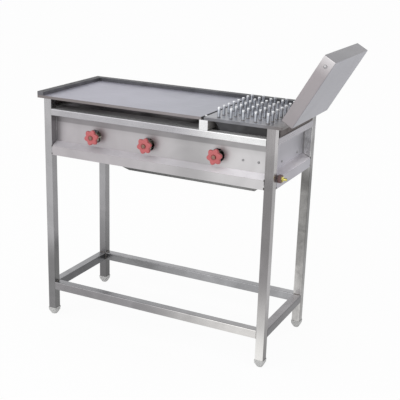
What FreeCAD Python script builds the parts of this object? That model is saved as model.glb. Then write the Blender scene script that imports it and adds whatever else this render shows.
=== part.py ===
import FreeCAD, Part
import math
import os

V = FreeCAD.Vector

# Stand, sizes in millimetres
stand_length = 914.0
stand_depth = 400.0
tube_size = 32.0
tube_wall = 1.5
tube_corner = 3.0
leg_bottom = 28.0
leg_top = 864.0
stretcher_top = 140.0
slot_height = 37.0
rail_height = 25.0

# Levelling feet
collar_lip = 1.5
collar_height = 6.0
socket_depth = 32.0
stem_radius = 5.0
stem_length = 62.0
foot_top_width = 34.0
foot_chamfer = 6.0
foot_bottom_width = 20.0

# Folded sheet body
sheet = 1.2
wall_height = 127.0
ledge_drop = 13.0
apron_height = 34.0
apron_return = 18.0
top_flange = 50.0
valve_hole = 24.0

# Under pan
pan_left = 263.0
pan_right = 18.0
pan_depth = 27.0
pan_slope = 1.25
pan_lip = 12.0

# Cooking plates and rims
plate_thick = 10.0
side_overhang = 24.0
front_overhang = 8.0
plate_corner = 5.0
puffer_width = 285.0
seam_gap = 1.6
rim_width = 28.0
rim_height = 12.5
strip_thick = 3.0
strip_clearance = 3.0
strip_end_gap = 8.0

# Puffer pins
pin_radius = 5.0
pin_height = 35.0
pin_chamfer = 1.6
pin_columns = 5
pin_rows = 8
pin_side_margin = 47.0
pin_hinge_margin = 61.0
pin_front_margin = 28.0
pin_rear_margin = 100.0

# Puffer lid and its hinges
lid_side_margin = 6.0
lid_front_margin = 13.0
lid_rear_margin = 45.0
lid_height = 43.5
lid_bend = 2.5
open_angle = 120.0
hinge_inset = 10.0
lid_hinge_gap = 11.0
rod_radius = 4.0
barrel_radius = 6.0
barrel_length = 34.0
barrel_margin = 55.0
ear_thick = 6.0
ear_height = 24.0
heel_length = 15.0
stud_inset = 29.0
stud_radius = 4.0

# Gas train
valve_above_ledge = 40.0
burner_spacing = 220.0
puffer_valve_offset = 44.0
pipe_radius = 10.65
pipe_wall = 2.65
pipe_drop = 53.0
pipe_clearance = 0.55
clip_thick = 3.6
riser_radius = 8.0
valve_radius = 11.0
valve_half = 14.0
boss_length = 18.0
gland_width = 17.0
gland_length = 6.0
spindle_radius = 4.0
knob_setback = 9.0
knob_radius = 29.5
knob_valley = 22.5
knob_turn = 14.0
knob_thick = 13.0
knob_lobes = 6
knob_hub = 10.0
hub_length = 7.0
nut_width = 13.0
nut_height = 5.0
nut_recess = 2.5
jet_radius = 4.0
jet_length = 18.0
jet_seat = 6.0
jet_gap = 3.0
coupling_width = 26.0
coupling_length = 12.0
coupling_gap = 1.0
nozzle_width = 17.0
nozzle_radius = 5.0
nozzle_length = 12.0

# Burners and the rails that carry them
burner_radius = 19.0
burner_wall = 2.5
burner_end_gap = 26.0
bell_length = 22.0
throat_length = 52.0
throat_radius = 12.0
branch_radius = 15.0
branch_end = 18.0
port_width = 2.0
port_length = 16.0
port_pitch = 13.0
port_count = 12
branch_ports = 8
carrier_front_inset = 80.0
carrier_rear_inset = 35.0
carrier_thick = 3.0
carrier_flange = 22.0
carrier_drop = 35.0

# Puffer hood
hood_gap = 4.0
hood_left_margin = 22.0
hood_above_burner = 3.0
hood_slope = 0.667
hood_tab_width = 22.0
hood_tab_edge = 10.0
hood_screw_insets = (92.0, 35.0)
hood_screw_drop = 4.0

# Small screws
screw_head = 4.5
screw_head_height = 2.6
screw_shank = 2.4
screw_length = 9.0
carrier_screw_drop = 23.0
plate_screw_front = 28.0
plate_screw_gap = 7.0
plate_screw_bite = 4.0

# Clearances
running_fit = 0.05
snug_fit = 0.03
sheet_fit = 0.3
stop_gap = 0.3

# Places worked out from the sizes above
half_l = stand_length / 2
half_d = stand_depth / 2
leg_x = half_l - tube_size / 2
leg_y = half_d - tube_size / 2
inner_x = half_l - tube_size
inner_y = half_d - tube_size
rail_top = leg_top - slot_height
plate_top = leg_top + plate_thick
socket_collar = tube_size + 2 * collar_lip
ledge_height = rail_top - wall_height
apron_bottom = ledge_height - ledge_drop - apron_height
valve_height = ledge_height + valve_above_ledge
pipe_height = valve_height - pipe_drop
top_left = -half_l - side_overhang
top_right = half_l + side_overhang
top_front = -half_d - front_overhang
top_rear = half_d
seam_x = top_right - puffer_width
hinge_x = top_right - hinge_inset
hinge_z = plate_top + barrel_radius
lid_left = seam_x + lid_side_margin
lid_right = hinge_x - lid_hinge_gap
lid_front = top_front + lid_front_margin
lid_rear = top_rear - lid_rear_margin
lid_bottom = plate_top + stop_gap
lid_top = lid_bottom + lid_height
ear_reach = barrel_radius - stop_gap
griddle_middle = (top_left + seam_x) / 2
valve_places = {
    "left": griddle_middle - burner_spacing / 2,
    "middle": griddle_middle + burner_spacing / 2,
    "puffer": seam_x + puffer_valve_offset,
}
pin_pitch_x = (puffer_width - pin_side_margin - pin_hinge_margin) / (pin_columns - 1)
pin_pitch_y = (top_rear - top_front - pin_front_margin - pin_rear_margin) / (pin_rows - 1)
plate_screw_places = (top_front + plate_screw_front, top_rear - rim_width - plate_screw_gap)
pipe_y = -inner_y + sheet + pipe_clearance + clip_thick + pipe_radius
pipe_setback = half_d + pipe_y
knob_seat = pipe_setback - knob_setback
spindle_end = knob_seat + knob_thick - nut_recess + nut_height
pipe_end = half_l + coupling_length / 2
mouth_y = pipe_y + valve_half - jet_seat + jet_length + jet_gap
burner_length = inner_y - sheet - burner_end_gap - mouth_y
carrier_screws = (mouth_y + carrier_front_inset, mouth_y + burner_length - carrier_rear_inset)
carrier_foot = valve_height - carrier_drop
carrier_screw_height = valve_height - carrier_screw_drop
branch_at = sum(carrier_screws) / len(carrier_screws)
hood_bottom = valve_height + burner_radius + hood_above_burner
hood_screws = [inner_x - inset for inset in hood_screw_insets]
hood_screw_height = valve_height - hood_screw_drop
side_wall = inner_x - sheet
carrier_reach = side_wall - sheet_fit / 3

# Middle of the whole outline, moved to the origin when the pieces are written
swing = math.radians(open_angle)
bend_x = lid_left + lid_bend - hinge_x
bend_z = lid_top - lid_bend - hinge_z
lid_reach = bend_x * math.cos(swing) + bend_z * math.sin(swing) + lid_bend
reach_x = (hinge_x + lid_reach + top_left) / 2
reach_y = (collar_lip - max(front_overhang, spindle_end - pipe_setback)) / 2


def block(x0, x1, y0, y1, z0, z1):
    return Part.makeBox(x1 - x0, y1 - y0, z1 - z0, V(x0, y0, z0))


def rod(radius, start, direction, length):
    return Part.makeCylinder(radius, length, V(*start), V(*direction))


def polygon(points):
    return Part.Face(Part.makePolygon([V(*p) for p in points] + [V(*points[0])]))


def hexagon(width, length):
    corner = width / math.sqrt(3)
    points = []
    for i in range(6):
        angle = math.radians(60 * i + 30)
        points.append((corner * math.cos(angle), corner * math.sin(angle), 0))
    return polygon(points).extrude(V(0, 0, length))


def rounded_bar(width, height, length, corner):
    w = width / 2
    h = height / 2
    k = corner * (1 - math.sqrt(0.5))
    bends = [
        ((w, h - corner), (w - k, h - k), (w - corner, h)),
        ((-w + corner, h), (-w + k, h - k), (-w, h - corner)),
        ((-w, -h + corner), (-w + k, -h + k), (-w + corner, -h)),
        ((w - corner, -h), (w - k, -h + k), (w, -h + corner)),
    ]
    edges = []
    for i, bend in enumerate(bends):
        a, b, c = [V(p[0], p[1], 0) for p in bend]
        following = bends[(i + 1) % len(bends)][0]
        edges.append(Part.Arc(a, b, c).toShape())
        edges.append(Part.makeLine(c, V(following[0], following[1], 0)))
    return Part.Face(Part.Wire(edges)).extrude(V(0, 0, length))


def tube(width, height, length):
    inside = rounded_bar(width - 2 * tube_wall, height - 2 * tube_wall, length, tube_corner - tube_wall)
    return rounded_bar(width, height, length, tube_corner).cut(inside)


def along_x(shape):
    return shape.rotated(V(0, 0, 0), V(1, 1, 1), 120)


def along_y(shape):
    return shape.rotated(V(0, 0, 0), V(1, 1, 1), 240)


def aim(shape, point, direction):
    turn = FreeCAD.Rotation(V(0, 0, 1), V(*direction))
    placed = shape.copy()
    placed.Placement = FreeCAD.Placement(V(*point), turn) * shape.Placement
    return placed


def spin(edges):
    return Part.Face(Part.Wire(edges)).revolve(V(0, 0, 0), V(0, 0, 1), 360)


def profile(points):
    places = [V(r, 0, z) for r, z in points]
    return [Part.makeLine(a, b) for a, b in zip(places, places[1:])]


def fold(path, thickness):
    """Corner points of a folded strip whose outer face follows the path."""
    inner = []
    for i, point in enumerate(path):
        normals = []
        for a, b in zip(path[max(i - 1, 0):i + 1], path[max(i, 1):i + 2]):
            run = math.hypot(b[0] - a[0], b[1] - a[1])
            normals.append(((a[1] - b[1]) / run, (b[0] - a[0]) / run))
        n = normals[0]
        m = normals[-1]
        scale = thickness / (1 + n[0] * m[0] + n[1] * m[1])
        inner.append((point[0] + (n[0] + m[0]) * scale, point[1] + (n[1] + m[1]) * scale))
    return path + inner[::-1]


def dome_screw(head, height, shank, length):
    rim = 0.3 * height
    cap = height - rim
    ball = (head * head + cap * cap) / (2 * cap)
    half = math.asin(head / ball) / 2
    middle = V(ball * math.sin(half), 0, height - ball + ball * math.cos(half))
    crown = Part.Arc(V(head, 0, rim), middle, V(0, 0, height)).toShape()
    edges = profile([(0, height), (0, -length), (shank, -length), (shank, 0), (head, 0), (head, rim)])
    return spin(edges + [crown])


def panel_screw(point, direction):
    return aim(dome_screw(screw_head, screw_head_height, screw_shank, screw_length), point, direction)


def screw_hole(point, direction):
    depth = screw_length + screw_head_height
    start = V(*point) + V(*direction) * (depth / 2)
    return rod(screw_shank + snug_fit, tuple(start), [-d for d in direction], 2 * depth)


# Stand: square tube, welded

def leg(side_x, side_y):
    post = tube(tube_size, tube_size, leg_top - leg_bottom)
    return post.translated(V(side_x * leg_x, side_y * leg_y, leg_bottom))


def cross_tube_x(side_y, top, height):
    bar = along_x(tube(tube_size, height, 2 * inner_x))
    return bar.translated(V(-inner_x, side_y * leg_y, top - height / 2))


def cross_tube_y(side_x, top, height):
    bar = along_y(tube(height, tube_size, 2 * inner_y))
    return bar.translated(V(side_x * leg_x, -inner_y, top - height / 2))


def seam_bearer():
    """Tube under the joint of the two plates, its front end closed."""
    outer = along_y(rounded_bar(slot_height, tube_size, stand_depth, tube_corner))
    inner_height = slot_height - 2 * tube_wall
    inner_width = tube_size - 2 * tube_wall
    inner = along_y(rounded_bar(inner_height, inner_width, stand_depth, tube_corner - tube_wall))
    bearer = outer.cut(inner.translated(V(0, tube_wall, 0)))
    bearer = bearer.translated(V(seam_x, -half_d, leg_top - slot_height / 2))
    return bearer.cut(plate_screw_holes())


def leg_socket(side_x, side_y):
    """Plug pressed into the leg end with a collar below it and a bore for the foot stem."""
    width = tube_size - 2 * tube_wall - 2 * snug_fit
    plug = rounded_bar(width, width, socket_depth, tube_corner - tube_wall).translated(V(0, 0, leg_bottom))
    collar = rounded_bar(socket_collar, socket_collar, collar_height, tube_corner)
    socket = plug.fuse(collar.translated(V(0, 0, leg_bottom - collar_height))).removeSplitter()
    bore = rod(stem_radius + running_fit, (0, 0, 0), (0, 0, 1), leg_bottom + socket_depth)
    return socket.cut(bore).translated(V(side_x * leg_x, side_y * leg_y, 0))


def foot(side_x, side_y):
    """Foot that tapers from a square with cut corners to an octagon, on a stem."""
    octagon_cut = foot_bottom_width * (1 - math.sqrt(0.5))
    rings = []
    for width, cut, z in (
        (foot_bottom_width, octagon_cut, 0),
        (foot_top_width, foot_chamfer, leg_bottom - collar_height),
    ):
        far = width / 2
        near = far - cut
        ring = []
        for x, y in ((1, 1), (-1, 1), (-1, -1), (1, -1)):
            sides = [V(x * far, y * near, z), V(x * near, y * far, z)]
            ring.extend(sides if x * y > 0 else sides[::-1])
        rings.append(Part.makePolygon(ring + [ring[0]]))
    taper = Part.makeLoft(rings, True, True)
    stem = rod(stem_radius, (0, 0, leg_bottom / 2), (0, 0, 1), stem_length - leg_bottom / 2)
    return taper.fuse(stem).translated(V(side_x * leg_x, side_y * leg_y, 0))


# Body: folded sheet between the legs

def panel_path():
    """Outer face of a panel seen end on: wall, sloping ledge, apron, return. First number is the depth."""
    return [
        (0, rail_top),
        (0, ledge_height),
        (tube_size, ledge_height - ledge_drop),
        (tube_size, apron_bottom),
        (tube_size - apron_return, apron_bottom),
    ]


def long_panel(side_y):
    strip = fold([(-d, z) for d, z in panel_path()], sheet)
    face = polygon([(0, y, z) for y, z in strip])
    half = inner_x - sheet_fit
    panel = face.extrude(V(2 * half, 0, 0)).translated(V(-half, -inner_y, 0))
    if side_y > 0:
        panel = panel.mirror(V(0, 0, 0), V(0, 1, 0))
    return panel


def front_panel():
    """Carries the three valve holes and a top flange under the griddle."""
    panel = long_panel(-1)
    start = -side_wall + sheet_fit
    end = seam_x - tube_size / 2 - sheet_fit
    flange = block(start, end, -inner_y, -inner_y + top_flange, rail_top - sheet, rail_top)
    panel = panel.fuse(flange).removeSplitter()
    for x in valve_places.values():
        panel = panel.cut(rod(valve_hole, (x, -half_d, valve_height), (0, 1, 0), stand_depth / 2))
    for x in hood_screws:
        panel = panel.cut(screw_hole((x, -inner_y, hood_screw_height), (0, -1, 0)))
    return panel


def side_panel(side_x):
    strip = fold([(-d, z) for d, z in panel_path()], sheet)
    face = polygon([(x, 0, z) for x, z in strip])
    run = 2 * (inner_y - sheet - sheet_fit)
    panel = face.extrude(V(0, run, 0)).translated(V(-inner_x, -run / 2, 0))
    for y in carrier_screws:
        panel = panel.cut(screw_hole((-inner_x, y, carrier_screw_height), (-1, 0, 0)))
    if side_x > 0:
        panel = panel.mirror(V(0, 0, 0), V(1, 0, 0))
        panel = panel.cut(pipe_rod(pipe_radius + sheet_fit, inner_x, 2 * tube_size))
    return panel


def pan_loft(inset, floor):
    """Hopper shape with four sloping sides."""
    top = apron_bottom + 2 * sheet
    rings = []
    for z in (floor, top):
        slope = (top - z) * pan_slope
        x0 = -inner_x + pan_left + slope + inset
        x1 = inner_x - pan_right - slope - inset
        y = half_d - apron_return - sheet - slope - inset
        ring = [V(x0, -y, z), V(x1, -y, z), V(x1, y, z), V(x0, y, z)]
        rings.append(Part.makePolygon(ring + [ring[0]]))
    return Part.makeLoft(rings, True, True)


def under_pan():
    """Shallow hopper hung by its long lips on the returns of the front and rear aprons."""
    floor = apron_bottom - pan_depth
    body = pan_loft(0, floor)
    box = body.BoundBox
    for side in (-1, 1):
        y = side * (box.YMax - sheet)
        lip_y = side * (box.YMax + pan_lip)
        z = apron_bottom + sheet
        body = body.fuse(block(box.XMin, box.XMax, min(y, lip_y), max(y, lip_y), z, z + sheet))
    return body.cut(pan_loft(1.6 * sheet, floor + sheet)).removeSplitter()


def hood_loft(inset):
    """Funnel under the puffer plate, its left side sloping."""
    right = side_wall - hood_gap
    y = inner_y - sheet
    top = leg_top - hood_gap / 4
    rings = []
    for z in (hood_bottom, top):
        left = seam_x + hood_left_margin + (top - z) * hood_slope
        x0 = left + inset
        x1 = right - inset
        edge = y - inset
        ring = [V(x0, -edge, z), V(x1, -edge, z), V(x1, edge, z), V(x0, edge, z)]
        rings.append(Part.makePolygon(ring + [ring[0]]))
    return Part.makeLoft(rings, True, True)


def puffer_hood():
    hood = hood_loft(0).cut(hood_loft(sheet))
    wall = -inner_y + sheet
    for x in hood_screws:
        half = hood_tab_width / 2
        low = hood_screw_height - hood_tab_edge
        tab = block(x - half, x + half, wall, wall + sheet, low, hood_bottom + sheet)
        hood = hood.fuse(tab.cut(screw_hole((x, -inner_y, hood_screw_height), (0, -1, 0))))
    return hood.removeSplitter()


# Cooking top

def top_slab(z, height):
    """Outline of the whole top with rounded corners."""
    slab = rounded_bar(top_right - top_left, top_rear - top_front, height, plate_corner)
    return slab.translated(V((top_left + top_right) / 2, (top_front + top_rear) / 2, z))


def plate_screw_holes():
    depth = plate_thick + slot_height / 2
    holes = [rod(screw_shank + snug_fit, (seam_x, y, plate_top), (0, 0, -1), depth)
             for y in plate_screw_places]
    return holes[0].fuse(holes[1])


def griddle_plate():
    reach = block(top_left, seam_x - seam_gap / 2, top_front, top_rear, leg_top, plate_top)
    return top_slab(leg_top, plate_thick).common(reach).cut(plate_screw_holes())


def puffer_plate():
    reach = block(seam_x + seam_gap / 2, top_right, top_front, top_rear, leg_top, plate_top)
    return top_slab(leg_top, plate_thick).common(reach).cut(plate_screw_holes())


def rim_bar(points):
    strip = polygon([(x, y, plate_top) for x, y in points]).extrude(V(0, 0, rim_height))
    return top_slab(plate_top, rim_height).common(strip)


def rim_left():
    inner = top_left + rim_width
    mitre = top_rear - rim_width
    return rim_bar([(top_left, top_front), (inner, top_front), (inner, mitre), (top_left, top_rear)])


def rim_rear_griddle():
    inner = top_rear - rim_width
    end = seam_x - seam_gap / 2
    return rim_bar([(top_left, top_rear), (top_left + rim_width, inner), (end, inner), (end, top_rear)])


def rim_rear_puffer():
    inner = top_rear - rim_width
    start = seam_x + seam_gap / 2
    return rim_bar([(start, inner), (top_right, inner), (top_right, top_rear), (start, top_rear)])


def side_strips():
    """Flat bars hung under the plates along the sides, closing the gap above the side rails."""
    reach = inner_y - strip_end_gap
    low = rail_top + strip_clearance
    right = block(half_l - strip_thick, half_l, -reach, reach, low, leg_top)
    return Part.makeCompound([right.mirror(V(0, 0, 0), V(1, 0, 0)), right])


def puffer_pins():
    edges = profile([
        (0, 0),
        (pin_radius, 0),
        (pin_radius, pin_height - pin_chamfer),
        (pin_radius - pin_chamfer, pin_height),
        (0, pin_height),
        (0, 0),
    ])
    pin = spin(edges)
    pins = []
    for column in range(pin_columns):
        for row in range(pin_rows):
            x = seam_x + pin_side_margin + column * pin_pitch_x
            y = top_front + pin_front_margin + row * pin_pitch_y
            pins.append(pin.translated(V(x, y, plate_top)))
    return Part.makeCompound(pins)


def plate_screws():
    screw = dome_screw(screw_head, screw_head_height, screw_shank, plate_thick + plate_screw_bite)
    return Part.makeCompound([aim(screw, (seam_x, y, plate_top), (0, 0, 1)) for y in plate_screw_places])


# Lid, drawn shut and then swung open about the hinge rod

def opened(shape):
    return shape.rotated(V(hinge_x, 0, hinge_z), V(0, 1, 0), open_angle)


def lid_box(inset):
    box = block(lid_left + inset, lid_right - inset, lid_front + inset, lid_rear - inset,
                lid_bottom, lid_top - inset)
    kept = []
    for edge in box.Edges:
        if edge.CenterOfMass.z > lid_bottom + inset:
            kept.append(edge)
    return box.makeFillet(lid_bend - inset, kept)


def stud_place():
    return (lid_left + stud_inset, lid_front, (lid_bottom + lid_top) / 2)


def lid_shell():
    shell = lid_box(0).cut(lid_box(sheet))
    hole = rod(stud_radius + snug_fit, stud_place(), (0, 1, 0), 4 * sheet)
    return opened(shell.cut(hole))


def lid_stud():
    """Dome-headed stud through the lid's front wall with its nut inside."""
    stud = dome_screw(1.6 * stud_radius, stud_radius, stud_radius, 2 * stud_radius)
    nut = hexagon(nut_width, nut_height).translated(V(0, 0, -sheet - nut_height))
    return opened(aim(stud.fuse(nut), stud_place(), (0, -1, 0)))


def hinge_stations():
    """Start of each barrel along the depth, and of the ear beside it on the inner side."""
    front = lid_front + barrel_margin
    rear = lid_rear - barrel_margin - barrel_length
    gap = 2 * stop_gap
    return {
        "front": (front, front + barrel_length + gap),
        "rear": (rear, rear - gap - ear_thick),
    }


def hinge_barrel(name):
    """Round-backed bearing block welded to the plate."""
    start = hinge_stations()[name][0]
    bearing = rod(barrel_radius, (hinge_x, start, hinge_z), (0, 1, 0), barrel_length)
    seat = block(hinge_x - barrel_radius, hinge_x + barrel_radius, start, start + barrel_length,
                 plate_top, hinge_z)
    bore = rod(rod_radius + running_fit, (hinge_x, start, hinge_z), (0, 1, 0), barrel_length)
    return bearing.fuse(seat).removeSplitter().cut(bore)


def lid_ear(name):
    """Gusset from the rod to the lid's end wall; its heel lands on the plate when the lid is open."""
    start = hinge_stations()[name][1]
    normal = (math.sin(swing), -math.cos(swing))
    lie = (math.cos(swing), math.sin(swing))
    heel = (hinge_x + ear_reach * normal[0], hinge_z + ear_reach * normal[1])
    points = [
        (lid_right, hinge_z - ear_reach),
        (hinge_x, hinge_z - ear_reach),
        heel,
        (heel[0] + heel_length * lie[0], heel[1] + heel_length * lie[1]),
        (lid_right, lid_bottom + ear_height),
    ]
    gusset = polygon([(x, start, z) for x, z in points]).extrude(V(0, ear_thick, 0))
    eye = rod(ear_reach, (hinge_x, start, hinge_z), (0, 1, 0), ear_thick)
    bore = rod(rod_radius + snug_fit, (hinge_x, start, hinge_z), (0, 1, 0), ear_thick)
    return opened(gusset.fuse(eye).removeSplitter().cut(bore))


def hinge_rod():
    stations = hinge_stations()
    start = stations["front"][0] - ear_thick
    end = stations["rear"][0] + barrel_length + ear_thick
    return rod(rod_radius, (hinge_x, start, hinge_z), (0, 1, 0), end - start)


# Gas train: local z points out of the front panel, its zero on the pipe's centre line

def facing_front(shape, x):
    return aim(shape, (x, pipe_y, valve_height), (0, -1, 0))


def knob(x):
    """Star handwheel with a bevelled front edge, hub at the back and a recess for the nut."""
    middle = (knob_radius + knob_valley) / 2
    arcs = []
    for i in range(2 * knob_lobes):
        crest = knob_valley if i % 2 else knob_radius
        ends = []
        for radius, turn in ((middle, i - 0.5), (crest, i), (middle, i + 0.5)):
            angle = math.radians(knob_turn) + turn * math.pi / knob_lobes
            ends.append(V(radius * math.cos(angle), radius * math.sin(angle), 0))
        arcs.append(Part.Arc(*ends).toShape())
    star = Part.Face(Part.Wire(arcs)).extrude(V(0, 0, knob_thick))
    bevel = knob_thick / 3
    disc = spin(profile([
        (0, 0),
        (knob_radius, 0),
        (knob_radius, knob_thick - bevel),
        (knob_radius - bevel, knob_thick),
        (0, knob_thick),
        (0, 0),
    ]))
    wheel = star.common(disc).fuse(rod(knob_hub, (0, 0, -hub_length), (0, 0, 1), hub_length + nut_recess))
    wheel = wheel.cut(rod(knob_hub, (0, 0, knob_thick - nut_recess), (0, 0, 1), knob_thick))
    wheel = wheel.cut(rod(spindle_radius + snug_fit, (0, 0, -knob_thick), (0, 0, 1), 3 * knob_thick))
    return facing_front(wheel.translated(V(0, 0, knob_seat)), x)


def spindle(x):
    """Valve spindle with its cap nut at the front."""
    tail = valve_half / 3
    shaft = rod(spindle_radius, (0, 0, -tail), (0, 0, 1), spindle_end - nut_height / 2 + tail)
    nut = hexagon(nut_width, nut_height).translated(V(0, 0, spindle_end - nut_height))
    bevel = Part.makeCone(nut_width, nut_width * 0.46, nut_height, V(0, 0, spindle_end - nut_height))
    return facing_front(shaft.fuse(nut.common(bevel)), x)


def valve(x):
    """Needle-valve body: barrel, gland, inlet boss below and jet seat behind."""
    body = rod(valve_radius, (0, 0, -valve_half), (0, 0, 1), 2 * valve_half)
    body = body.fuse(rod(riser_radius + 1, (0, 0, 0), (0, -1, 0), boss_length))
    body = body.fuse(hexagon(gland_width, gland_length).translated(V(0, 0, valve_half)))
    body = body.cut(rod(spindle_radius + running_fit, (0, 0, -valve_half / 2), (0, 0, 1), 4 * valve_half))
    body = body.cut(rod(jet_radius + snug_fit, (0, 0, -valve_half), (0, 0, 1), jet_seat))
    body = body.cut(rod(jet_radius / 2, (0, 0, -valve_half), (0, 0, 1), valve_half))
    body = body.cut(rod(riser_radius / 2, (0, -boss_length, 0), (0, 1, 0), boss_length))
    return facing_front(body, x)


def jets():
    tip = jet_radius / 2
    shank = profile([(tip / 2, 0), (jet_radius, 0), (jet_radius, 0.7 * jet_length), (tip, jet_length),
                     (tip / 2, jet_length), (tip / 2, 0)])
    jet = spin(shank)
    start = pipe_y + valve_half - jet_seat
    return Part.makeCompound([aim(jet, (x, start, valve_height), (0, 1, 0)) for x in valve_places.values()])


def pipe_rod(radius, start, length):
    """Round bar on the centre line of the gas pipe."""
    return rod(radius, (start, pipe_y, pipe_height), (1, 0, 0), length)


def gas_pipe():
    """Supply pipe along the front with a riser under each valve; its left end is closed."""
    start = valve_places["left"] - 2 * tube_size
    pipe = pipe_rod(pipe_radius, start, pipe_end - start)
    bore = pipe_rod(pipe_radius - pipe_wall, start + pipe_wall, pipe_end - start)
    rise = valve_height - boss_length - pipe_height
    for x in valve_places.values():
        pipe = pipe.fuse(rod(riser_radius, (x, pipe_y, pipe_height), (0, 0, 1), rise))
        bore = bore.fuse(rod(riser_radius / 2, (x, pipe_y, pipe_height), (0, 0, 1), rise))
    return pipe.cut(bore)


def pipe_clips():
    """Rings round the pipe on straps welded to the back of the front panel."""
    clips = []
    half = tube_size / 4
    wall = -inner_y + sheet
    top = ledge_height + tube_size
    for x in (griddle_middle, seam_x - 2 * tube_size):
        ring = pipe_rod(pipe_radius + clip_thick, x - half, 2 * half)
        clip = ring.fuse(block(x - half, x + half, wall, wall + 1.3 * clip_thick, pipe_height, top))
        clips.append(clip.cut(pipe_rod(pipe_radius + snug_fit, x - half, 2 * half)))
    return Part.makeCompound(clips)


def inlet_coupling():
    """Six-sided coupling on the pipe end outside the right apron."""
    nut = hexagon(coupling_width, coupling_length)
    nut = aim(nut, (half_l + coupling_gap, pipe_y, pipe_height), (1, 0, 0))
    nut = nut.cut(pipe_rod(pipe_radius + snug_fit, half_l, coupling_length / 2 + snug_fit))
    return nut.cut(pipe_rod(riser_radius + snug_fit, half_l, 2 * coupling_length))


def hose_nozzle():
    """Spigot for the gas hose with a hexagon behind it and a stub in the coupling."""
    face = half_l + coupling_gap + coupling_length
    grip = aim(hexagon(nozzle_width, nut_height), (face, pipe_y, pipe_height), (1, 0, 0))
    stub = pipe_rod(riser_radius, pipe_end + coupling_gap + 1, coupling_length / 2)
    spigot = pipe_rod(nozzle_radius, face, nut_height + nozzle_length)
    bore = pipe_rod(nozzle_radius / 2, half_l, stand_depth)
    return grip.fuse(stub).fuse(spigot).cut(bore)


# Burners

def burner_skin(inset, end):
    """Bell mouth, throat and body of a burner, drawn along z."""
    mouth = burner_radius + 1 - inset
    waist = throat_radius - inset
    bell = Part.Arc(
        V(mouth, 0, 0),
        V(waist + 0.28 * (mouth - waist), 0, 0.36 * bell_length),
        V(waist, 0, bell_length),
    ).toShape()
    body = burner_radius - inset
    run = profile([(waist, bell_length), (body, throat_length), (body, end), (0, end), (0, 0), (mouth, 0)])
    return spin([bell] + run)


def port_row(start, step, count, size):
    slots = []
    for i in range(count):
        centre = V(*start) + V(*step) * i
        half = V(*size) / 2
        slots.append(block(centre.x - half.x, centre.x + half.x, centre.y - half.y, centre.y + half.y,
                           centre.z, centre.z + burner_radius))
    return Part.makeCompound(slots)


def burner(x):
    place = (x, mouth_y, valve_height)
    skin = aim(burner_skin(0, burner_length), place, (0, 1, 0))
    hollow = aim(burner_skin(burner_wall, burner_length - burner_wall), place, (0, 1, 0))
    return skin, hollow


def griddle_burner(x):
    skin, hollow = burner(x)
    first = mouth_y + burner_length - port_count * port_pitch
    ports = port_row((x, first, valve_height), (0, port_pitch, 0), port_count - 1,
                     (port_length, port_width, 0))
    return skin.cut(hollow).cut(ports)


def puffer_burner(x):
    """Same body with a side branch lying across under the hood."""
    skin, hollow = burner(x)
    run = side_wall - branch_end - x
    joint = (x, branch_at, valve_height)
    skin = skin.fuse(rod(branch_radius, joint, (1, 0, 0), run))
    hollow = hollow.fuse(rod(branch_radius - burner_wall, joint, (1, 0, 0), run - burner_wall))
    first = x + run - branch_ports * port_pitch
    ports = port_row((first, branch_at, valve_height), (port_pitch, 0, 0), branch_ports - 1,
                     (port_width, port_length, 0))
    return skin.cut(hollow).cut(ports)


def burner_carrier(screw_y):
    """Angle across the body, notched for the burners, with end tabs screwed to the side panels."""
    wall = screw_y - carrier_flange / 2
    top = valve_height - carrier_thick
    path = [(wall, top), (wall, carrier_foot), (wall + carrier_flange, carrier_foot)]
    strip = fold(path, carrier_thick)
    bar = polygon([(0, y, z) for y, z in strip]).extrude(V(2 * carrier_reach, 0, 0))
    bar = bar.translated(V(-carrier_reach, 0, 0))
    for side in (-1, 1):
        end = side * carrier_reach
        back = end - side * carrier_thick
        tab = block(min(end, back), max(end, back), wall, wall + carrier_flange, carrier_foot,
                    carrier_screw_height + carrier_flange / 2)
        bar = bar.fuse(tab)
        bar = bar.cut(screw_hole((side * inner_x, screw_y, carrier_screw_height), (side, 0, 0)))
    for x in valve_places.values():
        bar = bar.cut(rod(burner_radius + running_fit, (x, wall - carrier_thick, valve_height), (0, 1, 0),
                          3 * carrier_thick))
    return bar.removeSplitter()


def panel_screws():
    screws = [panel_screw((x, -inner_y, hood_screw_height), (0, -1, 0)) for x in hood_screws]
    for side in (-1, 1):
        for y in carrier_screws:
            screws.append(panel_screw((side * inner_x, y, carrier_screw_height), (side, 0, 0)))
    return Part.makeCompound(screws)


# The whole set of pieces

nodes = {
    "seam_bearer": seam_bearer(),
    "front_panel": front_panel(),
    "rear_panel": long_panel(1),
    "left_panel": side_panel(-1),
    "right_panel": side_panel(1),
    "under_pan": under_pan(),
    "puffer_hood": puffer_hood(),
    "griddle_plate": griddle_plate(),
    "puffer_plate": puffer_plate(),
    "rim_left": rim_left(),
    "rim_rear_griddle": rim_rear_griddle(),
    "rim_rear_puffer": rim_rear_puffer(),
    "side_strips": side_strips(),
    "puffer_pins": puffer_pins(),
    "plate_screws": plate_screws(),
    "lid_shell": lid_shell(),
    "lid_stud": lid_stud(),
    "hinge_rod": hinge_rod(),
    "gas_jets": jets(),
    "gas_pipe": gas_pipe(),
    "pipe_clips": pipe_clips(),
    "inlet_coupling": inlet_coupling(),
    "hose_nozzle": hose_nozzle(),
    "burner_left": griddle_burner(valve_places["left"]),
    "burner_middle": griddle_burner(valve_places["middle"]),
    "burner_puffer": puffer_burner(valve_places["puffer"]),
    "panel_screws": panel_screws(),
}

corners = {}
for depth_name, side_y in (("front", -1), ("rear", 1)):
    for length_name, side_x in (("left", -1), ("right", 1)):
        corners[depth_name + "_" + length_name] = (side_x, side_y)

for name, sides in corners.items():
    nodes["leg_" + name] = leg(*sides)
    nodes["foot_" + name] = foot(*sides)
nodes["leg_sockets"] = Part.makeCompound([leg_socket(*sides) for sides in corners.values()])

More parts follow.
